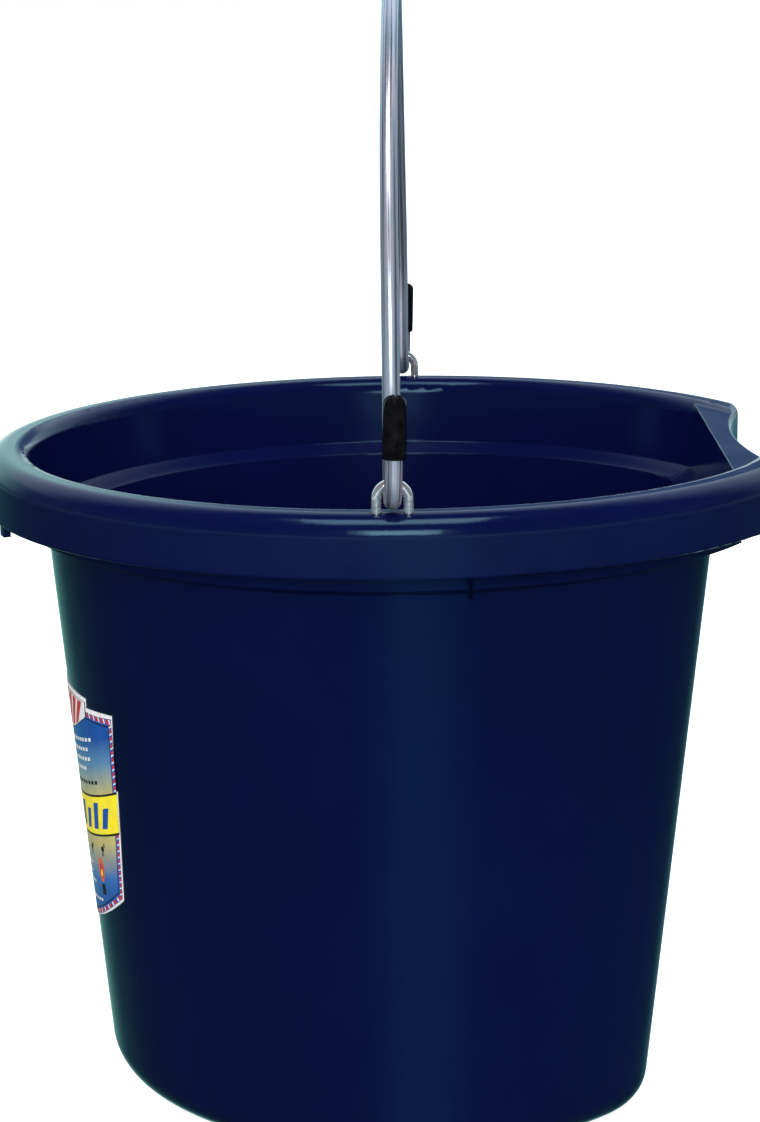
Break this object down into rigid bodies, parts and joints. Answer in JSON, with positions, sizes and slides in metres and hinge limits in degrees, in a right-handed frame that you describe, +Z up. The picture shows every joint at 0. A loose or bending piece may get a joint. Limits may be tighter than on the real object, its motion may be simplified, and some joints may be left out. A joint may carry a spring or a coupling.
{
  "type": "feed bucket",
  "caption": "Tapered plastic feed bucket with a flat scalloped back, a rolled rim, and a hooked wire bail that swings in steel eyes.",
  "frame": {"origin": "on the ground, under the middle of the bucket's whole outline seen from above", "axes": "+Z up; +X towards the flat back that hangs against a wall; Y along the line that the bail swings about"},
  "size_m": [0.3095, 0.3346, 0.4464],
  "materials": {
    "bucket_plastic": "semi-gloss moulded, navy blue",
    "bail_wire": "drawn galvanised wire",
    "zinc_hardware": "bright zinc plate",
    "cap_vinyl": "satin black vinyl",
    "label_print": "printed and laminated"
  },
  "bodies": {
    "bucket": {"bucket_shell": "bucket_plastic", "label": "label_print", "eye_bolt_left": "zinc_hardware", "backing_plate_left": "zinc_hardware", "eye_nuts_left": "zinc_hardware", "eye_bolt_right": "zinc_hardware", "backing_plate_right": "zinc_hardware", "eye_nuts_right": "zinc_hardware"},
    "bail": {"bail_rod": "bail_wire", "bail_cap_left": "cap_vinyl", "bail_cap_right": "cap_vinyl"}
  },
  "joints": [
    {"name": "bail_swing", "type": "hinge", "parent": "bucket", "child": "bail", "pos_m": [0.01065, 0, 0.26425], "axis": [0, 1, 0], "range_deg": [-90, 90]}
  ]
}
